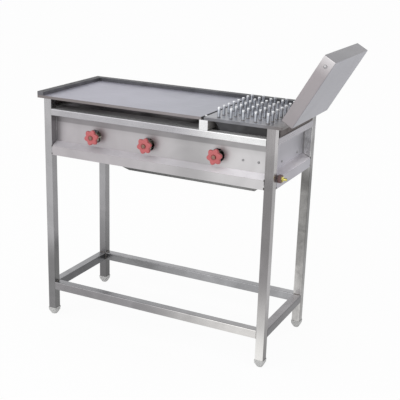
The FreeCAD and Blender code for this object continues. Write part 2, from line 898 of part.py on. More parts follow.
for name, side in (("front", -1), ("rear", 1)):
    nodes["stretcher_" + name] = cross_tube_x(side, stretcher_top, tube_size)
    nodes["top_rail_" + name] = cross_tube_x(side, rail_top, rail_height)
for name, side in (("left", -1), ("right", 1)):
    nodes["stretcher_" + name] = cross_tube_y(side, stretcher_top, tube_size)
    nodes["top_rail_" + name] = cross_tube_y(side, rail_top, rail_height)

for name in ("front", "rear"):
    nodes["hinge_barrel_" + name] = hinge_barrel(name)
    nodes["lid_ear_" + name] = lid_ear(name)

for name, screw_y in zip(("front", "rear"), carrier_screws):
    nodes["burner_carrier_" + name] = burner_carrier(screw_y)

for name, x in valve_places.items():
    nodes["knob_" + name] = knob(x)
    nodes["spindle_" + name] = spindle(x)
    nodes["valve_" + name] = valve(x)

os.makedirs("parts", exist_ok=True)
for name, shape in nodes.items():
    shape.translated(V(-reach_x, -reach_y, 0)).exportStep("parts/" + name + ".step")
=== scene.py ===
import bmesh
import bpy
import math
from mathutils import Matrix, Vector


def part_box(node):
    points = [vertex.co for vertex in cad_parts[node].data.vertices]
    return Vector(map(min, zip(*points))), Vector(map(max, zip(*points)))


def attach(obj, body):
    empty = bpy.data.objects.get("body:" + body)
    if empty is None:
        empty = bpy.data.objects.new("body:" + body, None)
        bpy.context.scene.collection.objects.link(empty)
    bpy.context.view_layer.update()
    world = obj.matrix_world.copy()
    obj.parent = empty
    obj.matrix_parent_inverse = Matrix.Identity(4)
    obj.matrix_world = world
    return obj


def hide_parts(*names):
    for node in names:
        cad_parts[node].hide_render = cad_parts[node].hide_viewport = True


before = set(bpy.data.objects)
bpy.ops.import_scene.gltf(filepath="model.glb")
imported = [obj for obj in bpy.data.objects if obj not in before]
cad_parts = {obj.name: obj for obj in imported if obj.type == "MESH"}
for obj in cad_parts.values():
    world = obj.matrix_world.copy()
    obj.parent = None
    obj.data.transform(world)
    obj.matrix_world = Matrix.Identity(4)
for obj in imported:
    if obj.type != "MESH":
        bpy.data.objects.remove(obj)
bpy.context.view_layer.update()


# Welded stand. Legs, low stretchers, top rails and the bearer under the plate seam are stainless square
# tube with rounded corners, belt-polished along their length, cut square and welded. Their tones carry
# painted light: painted reflections and highlights along each piece, and painted shade on its darker
# faces.

def wire(tree, source, output, target, socket):
    tree.links.new(source.outputs[output], target.inputs[socket])


def new_group(name, inputs, outputs):
    """Empty shader node group with named sockets, and its two end nodes."""
    group = bpy.data.node_groups.new(name, "ShaderNodeTree")
    for label, kind in inputs:
        group.interface.new_socket(label, in_out="INPUT", socket_type=kind)
    for label in outputs:
        group.interface.new_socket(label, in_out="OUTPUT", socket_type="NodeSocketFloat")
    return group, group.nodes.new("NodeGroupInput"), group.nodes.new("NodeGroupOutput")


def brushed_steel_effect():
    """Fine lines along one direction over soft, wide clouds."""
    group, given, result = new_group(
        "brushed_steel",
        [("Stretch", "NodeSocketVector"), ("Cloud Size", "NodeSocketFloat")],
        ["Lines", "Clouds"],
    )
    nodes = group.nodes
    place = nodes.new("ShaderNodeTexCoord")
    stretched = nodes.new("ShaderNodeVectorMath")
    stretched.operation = "MULTIPLY"
    lines = nodes.new("ShaderNodeTexNoise")
    lines.inputs["Scale"].default_value = 1.0
    lines.inputs["Detail"].default_value = 4.0
    lines.inputs["Roughness"].default_value = 0.6
    clouds = nodes.new("ShaderNodeTexNoise")
    clouds.inputs["Detail"].default_value = 2.5
    clouds.inputs["Distortion"].default_value = 1.2
    wider = nodes.new("ShaderNodeMapRange")
    wider.inputs["From Min"].default_value = 0.3
    wider.inputs["From Max"].default_value = 0.7
    wire(group, place, "Object", stretched, 0)
    wire(group, given, "Stretch", stretched, 1)
    wire(group, stretched, 0, lines, "Vector")
    wire(group, place, "Object", clouds, "Vector")
    wire(group, given, "Cloud Size", clouds, "Scale")
    wire(group, clouds, 0, wider, "Value")
    wire(group, lines, 0, result, "Lines")
    wire(group, wider, 0, result, "Clouds")
    return group


def tone_run_effect():
    """Mask that rises from 0 to 1 along one direction of the piece."""
    group, given, result = new_group(
        "tone_run",
        [("Along", "NodeSocketVector"), ("Start", "NodeSocketFloat"), ("End", "NodeSocketFloat")],
        ["Mask"],
    )
    place = group.nodes.new("ShaderNodeTexCoord")
    reach = group.nodes.new("ShaderNodeVectorMath")
    reach.operation = "DOT_PRODUCT"
    soft = group.nodes.new("ShaderNodeMapRange")
    soft.interpolation_type = "SMOOTHSTEP"
    wire(group, place, "Object", reach, 0)
    wire(group, given, "Along", reach, 1)
    wire(group, reach, "Value", soft, "Value")
    wire(group, given, "Start", soft, "From Min")
    wire(group, given, "End", soft, "From Max")
    wire(group, soft, 0, result, "Mask")
    return group


def one_side_effect():
    """Mask of the faces that look one way on the piece."""
    group, given, result = new_group("one_side", [("Toward", "NodeSocketVector")], ["Mask"])
    place = group.nodes.new("ShaderNodeTexCoord")
    turned = group.nodes.new("ShaderNodeVectorMath")
    turned.operation = "DOT_PRODUCT"
    soft = group.nodes.new("ShaderNodeMapRange")
    soft.interpolation_type = "SMOOTHSTEP"
    soft.inputs["From Min"].default_value = 0.6
    soft.inputs["From Max"].default_value = 0.85
    wire(group, place, "Normal", turned, 0)
    wire(group, given, "Toward", turned, 1)
    wire(group, turned, "Value", soft, "Value")
    wire(group, soft, 0, result, "Mask")
    return group


brushed_steel = brushed_steel_effect()
tone_run = tone_run_effect()
one_side = one_side_effect()


def placed(tree, group, **values):
    """An effect put into a material, with its own values."""
    node = tree.nodes.new("ShaderNodeGroup")
    node.node_tree = group
    for label, value in values.items():
        node.inputs[label.replace("_", " ")].default_value = value
    return node


def mixed(tree, first, second):
    """Colour mix whose two ends are set here; its factor is wired by the caller."""
    node = tree.nodes.new("ShaderNodeMix")
    node.data_type = "RGBA"
    node.inputs[6].default_value = (*first, 1.0)
    node.inputs[7].default_value = (*second, 1.0)
    return node


def polished(name, near, far, run, stretch, cloud_size, mottle, sheen, relief,
             sides=(), bands=(), dust=None):
    """Bare metal: a tone that drifts along the piece, polishing lines and clouds.

    Each of the sides is a direction with its own pair of tones. Each band scales the tone along a
    direction, from its start to its end, to the share given, and a share under a half also makes the
    band dull and not metallic. Dust is a direction and how metallic the faces that way stay. On many
    pieces the drift, the side tones and the bands carry painted light and shade."""
    material = bpy.data.materials.new(name)
    material.use_nodes = True
    tree = material.node_tree
    shader = tree.nodes["Principled BSDF"]
    shader.inputs["Metallic"].default_value = 1.0
    along, start, end = run
    drift = placed(tree, tone_run, Along=along, Start=start, End=end)
    tone = mixed(tree, near, far)
    wire(tree, drift, "Mask", tone, 0)
    for toward, side_near, side_far in sides:
        facing = placed(tree, one_side, Toward=toward)
        side_tone = mixed(tree, side_near, side_far)
        wire(tree, drift, "Mask", side_tone, 0)
        joined = mixed(tree, near, far)
        wire(tree, facing, "Mask", joined, 0)
        wire(tree, tone, 2, joined, 6)
        wire(tree, side_tone, 2, joined, 7)
        tone = joined
    grain = placed(tree, brushed_steel, Stretch=stretch, Cloud_Size=cloud_size)
    cloudy = tree.nodes.new("ShaderNodeMapRange")
    cloudy.inputs["To Min"].default_value = 1.0 - mottle
    cloudy.inputs["To Max"].default_value = 1.0 + mottle
    fine = tree.nodes.new("ShaderNodeMapRange")
    fine.inputs["From Min"].default_value = 0.3
    fine.inputs["From Max"].default_value = 0.7
    fine.inputs["To Min"].default_value = 1.0 - 0.25 * mottle
    fine.inputs["To Max"].default_value = 1.0 + 0.25 * mottle
    both = tree.nodes.new("ShaderNodeMath")
    both.operation = "MULTIPLY"
    shaded = tree.nodes.new("ShaderNodeVectorMath")
    shaded.operation = "SCALE"
    wire(tree, grain, "Clouds", cloudy, "Value")
    wire(tree, grain, "Lines", fine, "Value")
    wire(tree, cloudy, 0, both, 0)
    wire(tree, fine, 0, both, 1)
    dark_band = None
    for toward, start, end, share in bands:
        band = placed(tree, tone_run, Along=toward, Start=start, End=end)
        dimmed = tree.nodes.new("ShaderNodeMapRange")
        dimmed.inputs["To Min"].default_value = 1.0
        dimmed.inputs["To Max"].default_value = share
        lower = tree.nodes.new("ShaderNodeMath")
        lower.operation = "MULTIPLY"
        wire(tree, band, "Mask", dimmed, "Value")
        wire(tree, both, 0, lower, 0)
        wire(tree, dimmed, 0, lower, 1)
        both = lower
        if share < 0.5:
            dark_band = band
    wire(tree, tone, 2, shaded, 0)
    wire(tree, both, 0, shaded, "Scale")
    wire(tree, shaded, 0, shader, "Base Color")
    gloss = tree.nodes.new("ShaderNodeMapRange")
    gloss.inputs["From Min"].default_value = 0.3
    gloss.inputs["From Max"].default_value = 0.7
    gloss.inputs["To Min"].default_value = sheen[0]
    gloss.inputs["To Max"].default_value = sheen[1]
    bump = tree.nodes.new("ShaderNodeBump")
    bump.inputs["Strength"].default_value = relief
    bump.inputs["Distance"].default_value = 0.0002
    wire(tree, grain, "Lines", gloss, "Value")
    wire(tree, gloss, 0, shader, "Roughness")
    wire(tree, grain, "Lines", bump, "Height")
    wire(tree, bump, 0, shader, "Normal")
    bare = None
    if dust:
        toward, left = dust
        dusty = placed(tree, one_side, Toward=toward)
        bare = tree.nodes.new("ShaderNodeMapRange")
        bare.inputs["To Min"].default_value = 1.0
        bare.inputs["To Max"].default_value = left
        wire(tree, dusty, "Mask", bare, "Value")
        wire(tree, bare, 0, shader, "Metallic")
    if dark_band:
        dull = tree.nodes.new("ShaderNodeMath")
        dull.operation = "MAXIMUM"
        clear = tree.nodes.new("ShaderNodeMath")
        clear.operation = "SUBTRACT"
        clear.use_clamp = True
        clear.inputs[0].default_value = 1.0
        wire(tree, dark_band, "Mask", dull, 0)
        wire(tree, gloss, 0, dull, 1)
        wire(tree, dull, 0, shader, "Roughness")
        if bare:
            wire(tree, bare, 0, clear, 0)
        wire(tree, dark_band, "Mask", clear, 1)
        wire(tree, clear, 0, shader, "Metallic")
    return material


def clothe(material, *names):
    """Gives solids of the frame a finish."""
    for name in names:
        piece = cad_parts[name]
        if not piece.material_slots:
            piece.data.materials.append(material)
        for slot in piece.material_slots:
            slot.material = material


tube_sheen = (0.22, 0.34)
upright = (700, 700, 12)
lengthwise = (12, 700, 700)
crosswise = (700, 12, 700)
rise = (0, 0, 1)
fall = (0, 0, -1)
rightward = (1, 0, 0)
backward = (0, 1, 0)

# Leg tones are painted light: each leg has its own painted reflection running up it and its right faces
# painted darker as shade. On the right-hand legs, bands brighten or darken stretches of it as painted
# light.
clothe(polished("leg_front_left_painted_light", (0.225, 0.222, 0.225), (0.41, 0.405, 0.415), (rise, 0.22, 0.36),
                upright, 7.0, 0.08, tube_sheen, 0.1,
                [(rightward, (0.16, 0.16, 0.16), (0.285, 0.28, 0.288))]), "leg_front_left")
clothe(polished("leg_front_right_painted_light", (0.80, 0.79, 0.77), (0.285, 0.274, 0.277), (rise, 0.0, 0.36),
                upright, 7.0, 0.08, tube_sheen, 0.1,
                [(rightward, (0.135, 0.13, 0.127), (0.42, 0.406, 0.41))],
                [(rise, 0.36, 0.46, 0.80), (rise, 0.66, 0.72, 1.25), (rise, 0.74, 0.80, 1.2)]),
       "leg_front_right")
clothe(polished("leg_rear_right_painted_light", (0.275, 0.27, 0.264), (0.62, 0.62, 0.61), (rise, 0.60, 0.70),
                upright, 16.0, 0.24, tube_sheen, 0.1,
                [(rightward, (0.13, 0.127, 0.125), (0.26, 0.255, 0.26))],
                [(rise, 0.50, 0.60, 0.82), (rise, 0.61, 0.68, 1.22), (fall, -0.40, -0.15, 2.0)]),
       "leg_rear_right")
clothe(polished("leg_rear_left_painted_light", (0.15, 0.148, 0.15), (0.375, 0.37, 0.38), (rise, 0.0, 0.48),
                upright, 7.0, 0.08, tube_sheen, 0.1,
                [(rightward, (0.10, 0.10, 0.10), (0.27, 0.265, 0.272))]), "leg_rear_left")
# Stretcher tones are painted light. The front and rear ones run from painted shade at their left to a
# painted reflection at their right. The side ones are painted dark as shade, and all have tops painted
# lighter.
clothe(polished("stretcher_front_painted_light", (0.29, 0.282, 0.29), (0.66, 0.645, 0.63),
                (rightward, -0.16, 0.28), lengthwise, 9.0, 0.1, tube_sheen, 0.1,
                [(rise, (0.27, 0.27, 0.28), (0.34, 0.335, 0.34))]), "stretcher_front")
clothe(polished("stretcher_rear_painted_light", (0.23, 0.23, 0.235), (0.36, 0.36, 0.37),
                (rightward, -0.35, -0.05), lengthwise, 9.0, 0.14, tube_sheen, 0.1,
                [(rise, (0.32, 0.32, 0.33), (0.34, 0.34, 0.35))]), "stretcher_rear")
clothe(polished("stretcher_side_painted_shade", (0.11, 0.11, 0.115), (0.118, 0.114, 0.12),
                (rightward, -0.40, 0.30), crosswise, 9.0, 0.12, tube_sheen, 0.1,
                [(rise, (0.28, 0.28, 0.29), (0.29, 0.28, 0.29))]), "stretcher_left", "stretcher_right")
# The front and rear rails brighten to a painted highlight over their right part. The tops of all rails
# are painted lighter as painted light from above, and they are also made dull and barely metallic.
clothe(polished("rail_front_painted_highlight", (0.445, 0.435, 0.455), (0.80, 0.80, 0.80), (rightward, 0.0, 0.22),
                lengthwise, 6.0, 0.07, tube_sheen, 0.1,
                [(rise, (0.46, 0.46, 0.47), (0.75, 0.75, 0.75))], (), (rise, 0.15)),
       "top_rail_front", "top_rail_rear")
clothe(polished("rail_side_painted_light", (0.37, 0.355, 0.382), (0.35, 0.34, 0.37), (backward, -0.2, 0.2),
                crosswise, 6.0, 0.07, tube_sheen, 0.1,
                [(rise, (0.75, 0.75, 0.76), (0.75, 0.75, 0.76))], (), (rise, 0.15)),
       "top_rail_left", "top_rail_right")
# The bearer's front end is painted near white as a painted highlight, fading to a darker tone a few
# centimetres back; its right face is a dull mid grey.
clothe(polished("bearer_painted_highlight", (0.80, 0.80, 0.81), (0.35, 0.34, 0.34), (backward, -0.20, -0.17),
                crosswise, 30.0, 0.05, tube_sheen, 0.1,
                [(rightward, (0.40, 0.385, 0.375), (0.40, 0.385, 0.375))], (), (rightward, 0.1)),
       "seam_bearer")


# Weld beads of the stand. Short rippled fillets run where each stretcher and rail meets a leg and
# where the bearer stands on the front and rear rails, left dull and straw-brown by the heat.

def sleeve(rings, looped=False):
    """Corner points and faces of a skin over rings of equally many points, with closed ends."""
    count = len(rings[0])
    points = [tuple(p) for ring in rings for p in ring]
    faces = []
    steps = len(rings) if looped else len(rings) - 1
    for i in range(steps):
        low = i * count
        high = (i + 1) % len(rings) * count
        for j in range(count):
            k = (j + 1) % count
            faces.append((low + j, low + k, high + k, high + j))
    if not looped:
        faces.append(tuple(reversed(range(count))))
        faces.append(tuple(range(len(points) - count, len(points))))
    return points, faces


def make_piece(name, skins, material, body, crease=40):
    """One object from several skins, smooth but for edges sharper than the crease angle."""
    points = []
    faces = []
    for skin_points, skin_faces in skins:
        start = len(points)
        points.extend(skin_points)
        faces.extend(tuple(start + i for i in face) for face in skin_faces)
    mesh = bpy.data.meshes.new(name)
    mesh.from_pydata(points, [], faces)
    clean = bmesh.new()
    clean.from_mesh(mesh)
    bmesh.ops.remove_doubles(clean, verts=clean.verts, dist=1e-6)
    bmesh.ops.recalc_face_normals(clean, faces=clean.faces)
    clean.to_mesh(mesh)
    clean.free()
    mesh.polygons.foreach_set("use_smooth", [True] * len(mesh.polygons))
    mesh.set_sharp_from_angle(angle=math.radians(crease))
    mesh.materials.append(material)
    mesh.update()
    piece = bpy.data.objects.new(name, mesh)
    bpy.context.scene.collection.objects.link(piece)
    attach(piece, body)
    return piece


bead_radius = 0.0021
ripple = 0.0026
bearer_inset = 0.003
heat_tint = polished("weld_heat_tint", (0.17, 0.155, 0.145), (0.25, 0.235, 0.22), (rise, 0.1, 0.85),
                     (300, 300, 300), 90.0, 0.3, (0.35, 0.55), 0.4)


def bead(start, end, thick=bead_radius):
    """Round rippled bead between two points, thinner at its ends."""
    start = Vector(start)
    run = Vector(end) - start
    turn = run.to_track_quat("Z", "Y").to_matrix()
    steps = max(6, int(3 * run.length / ripple))
    rings = []
    for i in range(steps + 1):
        t = i / steps
        swell = 1.0 + 0.13 * math.sin(2 * math.pi * t * run.length / ripple)
        radius = thick * swell * max(0.25, (1 - abs(2 * t - 1) ** 9))
        ring = []
        for j in range(8):
            angle = 2 * math.pi * j / 8
            spoke = turn @ Vector((math.cos(angle), math.sin(angle), 0))
            ring.append(start + run * t + spoke * radius)
        rings.append(ring)
    return sleeve(rings)


def tube_end_beads(name, axis):
    """Beads above, below and behind both ends of a tube that lies along an axis."""
    low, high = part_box(name)
    inside = 1 - axis
    inward = low if abs(low[inside]) < abs(high[inside]) else high
    beads = []
    for end in (low[axis], high[axis]):
        for z in (low.z, high.z):
            a = Vector((0, 0, z))
            b = Vector((0, 0, z))
            a[axis] = b[axis] = end
            a[inside] = low[inside] + bead_radius
            b[inside] = high[inside] - bead_radius
            beads.append(bead(a, b))
        a = Vector((0, 0, low.z + bead_radius))
        b = Vector((0, 0, high.z - bead_radius))
        for point in (a, b):
            point[axis] = end
            point[inside] = inward[inside]
        beads.append(bead(a, b))
    return beads


stand_beads = []
for tube in ("stretcher_front", "stretcher_rear", "top_rail_front", "top_rail_rear"):
    stand_beads += tube_end_beads(tube, 0)
for tube in ("stretcher_left", "stretcher_right", "top_rail_left", "top_rail_right"):
    stand_beads += tube_end_beads(tube, 1)
bearer_low, bearer_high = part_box("seam_bearer")
for rail in ("top_rail_front", "top_rail_rear"):
    rail_low, rail_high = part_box(rail)
    near = rail_low.y + bearer_inset
    far = rail_high.y - bearer_inset
    for x in (bearer_low.x, bearer_high.x):
        stand_beads.append(bead((x, near, rail_high.z), (x, far, rail_high.z)))
make_piece("stand_welds", stand_beads, heat_tint, "stand")


# Leg sockets and levelling feet. Grey moulded plugs are pressed into the leg ends, and a tapering
# foot of the same plastic turns in each on a zinc-plated threaded stem.

def moulded_plastic_effect():
    """Slight mottling and a fine spark-eroded skin."""
    group, given, result = new_group(
        "moulded_plastic",
        [("Skin Size", "NodeSocketFloat")],
        ["Mottle", "Skin"],
    )
    nodes = group.nodes
    place = nodes.new("ShaderNodeTexCoord")
    mottle = nodes.new("ShaderNodeTexNoise")
    mottle.inputs["Scale"].default_value = 60.0
    mottle.inputs["Detail"].default_value = 3.0
    skin = nodes.new("ShaderNodeTexNoise")
    skin.inputs["Detail"].default_value = 2.0
    wire(group, place, "Object", mottle, "Vector")
    wire(group, place, "Object", skin, "Vector")
    wire(group, given, "Skin Size", skin, "Scale")
    wire(group, mottle, 0, result, "Mottle")
    wire(group, skin, 0, result, "Skin")
    return group


moulded_plastic = moulded_plastic_effect()


def moulding(name, pale, deep, sheen, relief):
    """Moulded plastic, paint or casting: two tones in a fine mottle under a rough skin."""
    material = bpy.data.materials.new(name)
    material.use_nodes = True
    tree = material.node_tree
    shader = tree.nodes["Principled BSDF"]
    effect = placed(tree, moulded_plastic, Skin_Size=1400.0)
    tone = mixed(tree, deep, pale)
    gloss = tree.nodes.new("ShaderNodeMapRange")
    gloss.inputs["To Min"].default_value = sheen[0]
    gloss.inputs["To Max"].default_value = sheen[1]
    bump = tree.nodes.new("ShaderNodeBump")
    bump.inputs["Strength"].default_value = relief
    bump.inputs["Distance"].default_value = 0.0002
    wire(tree, effect, "Mottle", tone, 0)
    wire(tree, tone, 2, shader, "Base Color")
    wire(tree, effect, "Mottle", gloss, "Value")
    wire(tree, gloss, 0, shader, "Roughness")
    wire(tree, effect, "Skin", bump, "Height")
    wire(tree, bump, 0, shader, "Normal")
    return material


clothe(moulding("socket_plastic", (0.55, 0.55, 0.543), (0.44, 0.44, 0.435), (0.45, 0.6), 0.3),
       "leg_sockets")
foot_plastic = moulding("foot_plastic", (0.55, 0.55, 0.543), (0.44, 0.44, 0.435), (0.45, 0.6), 0.3)
zinc_plate = polished("zinc_plate", (0.50, 0.51, 0.52), (0.52, 0.52, 0.53), (rise, 0, 1),
                      (90, 90, 90), 60.0, 0.2, (0.3, 0.45), 0.15)
foot_width = 0.0340
foot_toe = 0.0200
toe_cut = 0.0042
top_cut = 0.0030
foot_edge = 0.0008
stem_radius = 0.0050
stem_seat = 0.0040
stem_points = 20
thread_pitch = 0.0015
thread_depth = 0.0006


def foot_ring(centre, z, width, cut):
    """Square with cut corners, each of its eight corners eased by three points."""
    far = width / 2
    near = far - cut
    corners = []
    for x, y in ((1, 1), (-1, 1), (-1, -1), (1, -1)):
        pair = [(x * far, y * near), (x * near, y * far)]
        corners.extend(pair if x * y > 0 else pair[::-1])
    ring = []
    for i, corner in enumerate(corners):
        here = Vector(corner)
        before = Vector(corners[i - 1])
        after = Vector(corners[(i + 1) % len(corners)])
        for other, share in ((before, 0.06), (None, 0), (after, 0.06)):
            point = here * 0.992 if other is None else here.lerp(other, share)
            ring.append((centre.x + point.x, centre.y + point.y, z))
    return ring


for corner in ("front_left", "front_right", "rear_left", "rear_right"):
    low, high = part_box("foot_" + corner)
    middle = (low + high) / 2
    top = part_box("leg_sockets")[0].z
    shoulder = 0.72 * top
    rings = [foot_ring(middle, 0.0, foot_toe * 0.94, toe_cut)]
    rings.append(foot_ring(middle, foot_edge, foot_toe, toe_cut))
    for t in (0.25, 0.5, 0.75, 1.0):
        width = foot_toe + (foot_width - foot_toe) * t
        rings.append(foot_ring(middle, shoulder * t, width, toe_cut + (top_cut - toe_cut) * t))
    rings.append(foot_ring(middle, top - foot_edge, foot_width, top_cut))
    rings.append(foot_ring(middle, top, foot_width * 0.95, top_cut))
    body = "foot_" + corner
    foot = make_piece("foot_body_" + corner, [sleeve(rings)], foot_plastic, body, 15)
    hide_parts(body)
    turns = []
    steps = int(4 * (high.z - top) / thread_pitch)
    for i in range(steps + 1):
        z = top - stem_seat + (high.z - top + stem_seat) * i / steps
        ring = []
        for j in range(stem_points):
            phase = (z / thread_pitch - j / stem_points) % 1.0
            radius = stem_radius - thread_depth * abs(2 * phase - 1)
            angle = 2 * math.pi * j / stem_points
            ring.append((middle.x + radius * math.cos(angle), middle.y + radius * math.sin(angle), z))
        turns.append(ring)
    make_piece("foot_stem_" + corner, [sleeve(turns)], zinc_plate, body, 60)


# Body panels. Four folded stainless sheets between the legs, each a recessed wall, a sloping ledge
# and an apron below it, with the grain of the sheet running along the fold.

sheet_sheen = (0.36, 0.48)
long_grain = (10, 1500, 1500)
cross_grain = (1500, 10, 1500)
front_ledge = (0, -0.37, 0.93)
rear_ledge = (0, 0.37, 0.93)
right_ledge = (0.37, 0, 0.93)
left_ledge = (-0.37, 0, 0.93)
# The front panel's tones are painted light. It is darker at its left and lighter at its right as a
# painted reflection, and its ledge is painted lighter as painted light from above. A painted shadow of
# the top rail runs along the top of the wall, and bands darken it from the middle rightwards and
# brighten its right end again as painted light.
clothe(polished("front_panel_painted_light", (0.43, 0.408, 0.422), (0.50, 0.49, 0.495), (rightward, -0.35, 0.25),
                long_grain, 4.5, 0.1, sheet_sheen, 0.12,
                [(front_ledge, (0.56, 0.537, 0.565), (0.83, 0.81, 0.84))],
                [(rise, 0.773, 0.777, 0.66), (rise, 0.752, 0.775, 0.92),
                 (rightward, -0.03, 0.05, 0.80), (rightward, 0.09, 0.20, 1.40)], (rise, 0.15)),
       "front_panel")
# The rear panel is painted lighter towards its right as a painted reflection, and its ledge is painted
# lighter as painted light from above.
clothe(polished("rear_panel_painted_light", (0.43, 0.405, 0.42), (0.52, 0.51, 0.515), (rightward, -0.40, 0.30),
                long_grain, 4.5, 0.1, sheet_sheen, 0.12,
                [(rear_ledge, (0.85, 0.82, 0.86), (0.95, 0.93, 0.96))]), "rear_panel")
# The right panel's tone drifts from front to back as a painted reflection, and its ledge is painted
# lighter as painted light from above. A band darkens the top of its wall as painted shadow of the side
# rail.
clothe(polished("right_panel_painted_light", (0.43, 0.42, 0.455), (0.455, 0.45, 0.487), (backward, -0.02, 0.14),
                cross_grain, 4.5, 0.08, sheet_sheen, 0.12,
                [(right_ledge, (0.95, 0.92, 0.97), (0.95, 0.92, 0.97))],
                [(rise, 0.72, 0.755, 0.94)]), "right_panel")
# The left panel's ledge is painted lighter as painted light from above, and the panel darkens slightly
# towards the back.
clothe(polished("left_panel_painted_light", (0.42, 0.405, 0.43), (0.38, 0.37, 0.39), (backward, -0.02, 0.14),
                cross_grain, 4.5, 0.1, sheet_sheen, 0.12,
                [(left_ledge, (0.95, 0.92, 0.97), (0.95, 0.92, 0.97))]), "left_panel")


def eased(width, *names):
    """Softens the sharp edges of a solid by a narrow bevel."""
    for name in names:
        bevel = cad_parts[name].modifiers.new("eased", "BEVEL")
        bevel.width = width
        bevel.segments = 2
        bevel.limit_method = "ANGLE"
        bevel.angle_limit = math.radians(15)
        bevel.use_clamp_overlap = False


eased(0.0005, "front_panel", "rear_panel", "left_panel", "right_panel")


# Welds of the panels. A thin seam closes each corner where two walls meet a leg, and short beads hold
# the ends of the ledges and aprons. The seams are ground dull and the beads left dark by the heat.

tack_steel = polished("tack_scale", (0.075, 0.066, 0.062), (0.10, 0.09, 0.085), (rise, 0.65, 0.7),
                      (300, 300, 300), 120.0, 0.35, (0.45, 0.65), 0.4)
tacks = []
front_low, front_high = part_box("front_panel")
rear_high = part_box("rear_panel")[1]
right_low, right_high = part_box("right_panel")
left_low, left_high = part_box("left_panel")
apron_top = 0.687
tack_sink = 0.001
tack_length = 0.008
for z in (front_low.z + tack_sink, apron_top - 0.005):
    ends = []
    for x in (front_low.x, front_high.x):
        ends += [(x, front_low.y + tack_sink), (x, rear_high.y - tack_sink)]
    for y in (right_low.y, right_high.y):
        ends += [(right_high.x - tack_sink, y), (left_low.x + tack_sink, y)]
    for x, y in ends:
        tacks.append(bead((x, y, z), (x, y, z + tack_length)))
make_piece("panel_tacks", tacks, tack_steel, "stand")
seams = []
wall_foot = 0.700
wall_head = 0.802
wall_seam = 0.0024
apron_seam = 0.0013
for corner in ("front_left", "front_right", "rear_left", "rear_right"):
    leg_low, leg_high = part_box("leg_" + corner)
    x = leg_high.x if "left" in corner else leg_low.x
    y = leg_high.y if "front" in corner else leg_low.y
    out_x = leg_low.x + tack_sink if "left" in corner else leg_high.x - tack_sink
    seams.append(bead((x, y, wall_foot - 2 * tack_sink), (x, y, wall_head), wall_seam))
    seams.append(bead((x, y, wall_foot - tack_sink), (out_x, y, apron_top), apron_seam))
    seams.append(bead((out_x, y, apron_top), (out_x, y, front_low.z), apron_seam))
seam_steel = polished("seam_steel", (0.20, 0.195, 0.20), (0.23, 0.225, 0.23), (rise, 0.68, 0.80),
                      (300, 300, 300), 90.0, 0.2, (0.3, 0.45), 0.3)
make_piece("panel_seams", seams, seam_steel, "stand")


# Under pan and puffer hood. Thin stainless sheet, folded and spot-welded, dull; the pan hangs by its
# lips on the apron returns. The pan is painted dark as painted shade under the body, lightest at its
# right, and the hood is dark grey, darker towards its right.

pan_front = (0, -0.8, -0.6)
clothe(polished("pan_painted_shade", (0.05, 0.0495, 0.049), (0.17, 0.169, 0.167), (rightward, -0.2, 0.3),
                (60, 60, 60), 9.0, 0.22, (0.4, 0.6), 0.1, (), (), (pan_front, 0.15)), "under_pan")
clothe(polished("hood_dark_grey", (0.083, 0.083, 0.088), (0.050, 0.049, 0.050), (rightward, 0.15, 0.32),
                (60, 60, 60), 9.0, 0.25, (0.4, 0.6), 0.1), "puffer_hood")


# Gas pipe and valves. Plain steel pipe with risers, clips welded to the panel, cast valve bodies and
# brass jets, and a red-oxide painted coupling on the pipe end.

clothe(polished("pipe_steel", (0.24, 0.235, 0.23), (0.30, 0.29, 0.285), (rightward, -0.4, 0.4),
                (12, 300, 300), 20.0, 0.25, (0.4, 0.6), 0.2), "gas_pipe", "pipe_clips")
clothe(polished("valve_casting", (0.42, 0.38, 0.31), (0.46, 0.42, 0.35), (rise, 0.70, 0.76),
                (300, 40, 300), 40.0, 0.2, (0.35, 0.5), 0.2),
       "valve_left", "valve_middle", "valve_puffer")
brass = polished("brass", (0.62, 0.56, 0.16), (0.72, 0.66, 0.22), (rise, 0.68, 0.70),
                 (300, 40, 300), 40.0, 0.15, (0.22, 0.38), 0.2)
clothe(brass, "gas_jets")
oxide_paint = moulding("oxide_paint", (0.22, 0.13, 0.125), (0.14, 0.085, 0.08), (0.35, 0.55), 0.5)
clothe(oxide_paint, "inlet_coupling")


# Hose nozzle. A tail turned from brass and screwed into the coupling, with a hexagon to tighten it
# and three barbs that grip the gas hose.

nozzle_low, nozzle_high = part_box("hose_nozzle")
nozzle_middle = (nozzle_low + nozzle_high) / 2
hexagon_half = 0.0085
hexagon_length = 0.0050
hexagon_edge = 0.0005
shank = 0.0079
spigot_length = 0.0120
barb_root = 0.0042
barb_crest = 0.0050
barb_foot = 0.0043
mouth = 0.0040
bore = 0.0025
nozzle_points = 48


def nozzle_ring(x, radius, flats):
    """Ring round the nozzle's axis, six-sided where flats is 1 and round where it is 0."""
    ring = []
    for j in range(nozzle_points):
        angle = 2 * math.pi * j / nozzle_points
        to_flat = (angle + math.pi / 6) % (math.pi / 3) - math.pi / 6
        reach = radius * (1 + flats * (1 / math.cos(to_flat) - 1))
        y = nozzle_middle.y + reach * math.sin(angle)
        z = nozzle_middle.z + reach * math.cos(angle)
        ring.append((x, y, z))
    return ring


